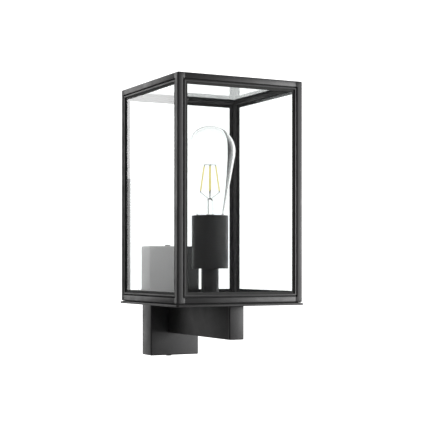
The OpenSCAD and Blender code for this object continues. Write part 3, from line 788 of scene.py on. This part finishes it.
def shoulder_radius(z):
    """The cone, drawn in towards the neck."""
    left = max(0, 1 - (z - NECK_TOP) / SHOULDER)
    return cone_radius(z) - (cone_radius(NECK_TOP) - NECK_R) * left ** 2


shoulder = [NECK_TOP + SHOULDER * i / 8 for i in range(9)]
cone = [NECK_TOP + SHOULDER + (crown_z - NECK_TOP - SHOULDER) * i / 6 for i in range(1, 5)]
flank = [(shoulder_radius(z), z) for z in shoulder] + [(cone_radius(z), z) for z in cone]
print("bulb", round(2 * bulb_r / MM, 1), "mm across,", len(flank), "points on its flank")

# %% [markdown]
# The outline then goes up the outside and back down the inside at the thickness of the glass. A skin with two
# faces refracts as a real bulb does, where a single face would act as a solid lump of glass.

# %% Bulb envelope
BULB_WALL = 0.8 * MM
NECK_CORE_R = 11.2 * MM
NECK_CORE_INNER_R = NECK_CORE_R - BULB_WALL
envelope_outline = (
    [(NECK_CORE_INNER_R, NECK_TOP + BULB_WALL), (NECK_CORE_INNER_R, low.z),
     (NECK_CORE_R, low.z), (NECK_CORE_R, NECK_TOP)]
    + flank
    + arc((0, crown_z), bulb_r, -TAPER_DEGREES, 90, 32)
    + arc((0, crown_z), bulb_r - BULB_WALL, 90, -TAPER_DEGREES, 32)
    + [(r - BULB_WALL, z) for r, z in reversed(flank[1:])]
)
envelope = turned("bulb-glass", envelope_outline, steps=128)
place(envelope, "bulb", "bulb_glass", bulb_glass, "bulb_glass", angle=50)
print("envelope", len(envelope.data.polygons), "faces")

# %% [markdown]
# Inside the envelope stands the mount: a flared glass foot drawn out into a rod, with the wires that carry
# the four filaments pinched into its top. The flare is a quarter of a sine wave, steeper at its start.

# %% Glass mount
FOOT_H, FLARE_H = 9 * MM, 17 * MM
WAIST_R, ROD_R, PINCH_R, TIP_R = 4.2 * MM, 4 * MM, 3.4 * MM, 1.6 * MM
ROD_TOP, PINCH_TOP = 38 * MM, 41 * MM
FLARE_STEPS = 8
FLARE_POWER = 0.8
low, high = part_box("bulb_mount")
foot_r = (high.x - low.x) / 2


def flare_point(share):
    """A point on the flare, from the foot at 0 to the waist at 1."""
    drawn_in = math.sin(math.radians(90 * share)) ** FLARE_POWER
    return foot_r - (foot_r - WAIST_R) * drawn_in, low.z + FOOT_H + FLARE_H * share


mount_outline = (
    [(0, low.z), (foot_r, low.z), (foot_r, low.z + FOOT_H)]
    + [flare_point(i / FLARE_STEPS) for i in range(1, FLARE_STEPS + 1)]
    + [(ROD_R, low.z + ROD_TOP), (PINCH_R, low.z + PINCH_TOP)]
    + arc((0, high.z - TIP_R), TIP_R, 20, 90, 5)
)
mount = turned("bulb-mount", mount_outline, steps=48)
place(mount, "bulb", "bulb_glass", bulb_glass, "bulb_mount", angle=60)
print("mount", round((high.z - low.z) / MM, 1), "mm tall")

# %% [markdown]
# Filaments, tabs and wires are all thin straight rods between two points. One helper adds a cylinder at the
# right length, turns it along the line and breaks the edges of its ends.

# %% A helper for rods
def rod(name, start, end, radius, sides=16):
    """A thin cylinder from one point to another, with rounded ends."""
    fresh()
    start, end = Vector(start), Vector(end)
    along = end - start
    bpy.ops.mesh.primitive_cylinder_add(
        vertices=sides, radius=radius, depth=along.length, location=(start + end) / 2,
        rotation=along.to_track_quat("Z", "Y").to_euler())
    piece = bpy.context.object
    piece.name = name
    bpy.ops.object.transform_apply(location=True, rotation=True, scale=True)
    soften(piece, radius * 0.45, 2, 50)
    return piece


def at(angle, radius, z):
    """A point by its angle and distance about the lamp's axis."""
    return lamp_axis + Vector((radius * math.cos(angle), radius * math.sin(angle), z))


mount_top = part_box("bulb_mount")[1].z
filament_low, filament_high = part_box("filaments")[0].z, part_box("filaments")[1].z
print("filaments", round((filament_high - filament_low) / MM, 1), "mm tall")

# %% [markdown]
# Four filaments lean together towards the top. Each has a metal tab at both ends, and wires join the lower
# tabs to the mount and the upper ones to a centre wire.

# %% Filaments and their wires
FILAMENT_TURN = -24
LOW_R, HIGH_R = 12 * MM, 7 * MM
FILAMENT_R, TAB_R, WIRE_R = 0.9 * MM, 0.6 * MM, 0.35 * MM
TAB = 1.8 * MM
TAB_OVERLAP = 0.2 * MM
WIRE_FOOT_R = 1.8 * MM
WIRE_SUNK = 1.2 * MM

angles = [math.radians(FILAMENT_TURN + 90 * i) for i in range(4)]
sticks, wires = [], []
for angle in angles:
    foot, head = at(angle, LOW_R, filament_low), at(angle, HIGH_R, filament_high)
    along = (head - foot).normalized()
    sticks.append(rod("stick", foot + along * TAB, head - along * TAB, FILAMENT_R))
    wires.append(rod("tab", foot, foot + along * (TAB + TAB_OVERLAP), TAB_R))
    wires.append(rod("tab", head - along * (TAB + TAB_OVERLAP), head, TAB_R))
    wires.append(rod("wire", at(angle, WIRE_FOOT_R, mount_top - WIRE_SUNK), foot, WIRE_R))
    wires.append(rod("wire", at(angle, 0, filament_high), head, WIRE_R))
wires.append(rod("wire", at(0, 0, mount_top - MM), at(0, 0, filament_high), WIRE_R))
filaments = joined("filaments-lit", sticks)
place(filaments, "bulb", "filament", FINISHES["filament"], "filaments", angle=60)
wiring = joined("filament-wiring", wires)
place(wiring, "bulb", "zinc_steel", FINISHES["zinc_steel"], "filament_wires", angle=60)
print(len(sticks), "filaments and", len(wires), "tabs and wires")

# %% [markdown]
# ## Parts that keep the model's own shape
# Screws, leads, the bracket and what is inside the holder are right as they are and mostly hidden, so they
# only take their finish.

# %% Finish the remaining nodes
slots = {entry["node"]: entry["material_slot"] for entry in frame["record"]["subparts"]}
kept = 0
for node, piece in frame["nodes"].items():
    if piece.hide_render:
        continue
    for index in range(len(piece.material_slots)):
        piece.material_slots[index].material = FINISHES[slots[node]]
    kept += 1
print(kept, "nodes keep their own shape")

# %% [markdown]
# ## The studio
# The lantern hangs in the middle of a pale bowl: a flat floor that sweeps up all round, so no horizon crosses
# the glass from any side.

# %% Floor and backdrop
FLOOR_Z = -0.45
BOWL_R = 3.2
SWEEP_R = 0.9
WALL_TOP = 3.0
bowl_outline = (
    [(0, FLOOR_Z), (BOWL_R - SWEEP_R, FLOOR_Z)]
    + arc((BOWL_R - SWEEP_R, FLOOR_Z + SWEEP_R), SWEEP_R, -80, 0, 12)
    + [(BOWL_R, WALL_TOP)]
)
bowl = turned("studio-bowl", bowl_outline, steps=96, closed=False)
fresh()
bowl.select_set(True)
bpy.ops.object.shade_smooth()
print("bowl", 2 * BOWL_R, "m across")

# %% [markdown]
# The paper glows a little, as a lit backdrop does: most at the back and to the right, less low on the left,
# and hardly at all at the front. The dim front gives the round cup its dark middle, and the dim corner on the
# left makes the side faces darken towards their foot. Both slopes read Object coordinates.

# %% Paper
paper, tree, shader = new_finish("studio_paper")
shader.inputs["Base Color"].default_value = (0.3, 0.3, 0.3, 1)
shader.inputs["Roughness"].default_value = 0.9
shader.inputs["Emission Color"].default_value = (1, 1, 1, 1)
where = tree.nodes.new("ShaderNodeTexCoord")
split = tree.nodes.new("ShaderNodeSeparateXYZ")
tree.links.new(where.outputs["Object"], split.inputs["Vector"])


def slant(first, share, second):
    """The first coordinate times its share, plus the second: a slope that runs across both."""
    sloped = tree.nodes.new("ShaderNodeMath")
    sloped.operation = "MULTIPLY_ADD"
    sloped.inputs[1].default_value = share
    tree.links.new(split.outputs[first], sloped.inputs[0])
    tree.links.new(split.outputs[second], sloped.inputs[2])
    return sloped.outputs["Value"]


glow = tree.nodes.new("ShaderNodeMath")
glow.operation = "MULTIPLY"
tree.links.new(between(tree, slant("X", 0.6, "Y"), 0.03, 1.3, -0.1, 1.9), glow.inputs[0])
tree.links.new(between(tree, slant("Z", 1.5, "X"), 0.12, 1.0, -1.85, -1.15), glow.inputs[1])
tree.links.new(glow.outputs["Value"], shader.inputs["Emission Strength"])
bowl.data.materials.append(paper)
print("made", paper.name)

# %% [markdown]
# ## Light
# One soft lamp from the front right shapes the front faces, a weak one from the back left lights the left
# sides, and a weak one overhead lifts the top edges. Rays that come through glass pass the lamps by, so no
# bright square stands behind a pane from any side.

# %% Light
def soft_light(name, place_at, aim, size, power, spread=180):
    """A square lamp that looks at a point."""
    fresh()
    bpy.ops.object.light_add(type="AREA", location=place_at)
    lamp = bpy.context.object
    lamp.name = name
    lamp.data.shape = "SQUARE"
    lamp.data.size = size
    lamp.data.energy = power
    lamp.data.spread = math.radians(spread)
    lamp.visible_transmission = False
    lamp.rotation_euler = (Vector(aim) - Vector(place_at)).to_track_quat("-Z", "Y").to_euler()
    return lamp


ABOVE_CAGE = cage_middle + Vector((0, 0, 0.3))
soft_light("front-right", (1.45, -1.15, 0.12), cage_middle, 0.9, 38)
soft_light("back-left", (-0.75, 1.3, 0.62), ABOVE_CAGE, 0.7, 0.25, spread=45)
soft_light("overhead", (0.2, 0, 2.4), cage_middle, 1.6, 4)
print("three lamps")

# %% [markdown]
# A dim, slightly cool sky fills what the bowl's open top leaves dark. Glass inside glass needs many bounces,
# or the far faces of the bulb would turn black.

# %% Sky and bounces
world = bpy.data.worlds.new("studio")
bpy.context.scene.world = world
world.use_nodes = True
sky = world.node_tree.nodes["Background"]
sky.inputs["Color"].default_value = (0.97, 0.985, 1, 1)
sky.inputs["Strength"].default_value = 0.15
bpy.context.scene.view_settings.view_transform = "Standard"
bpy.context.scene.cycles.max_bounces = 24
bpy.context.scene.cycles.transmission_bounces = 24
print("sky strength", round(sky.inputs["Strength"].default_value, 2))
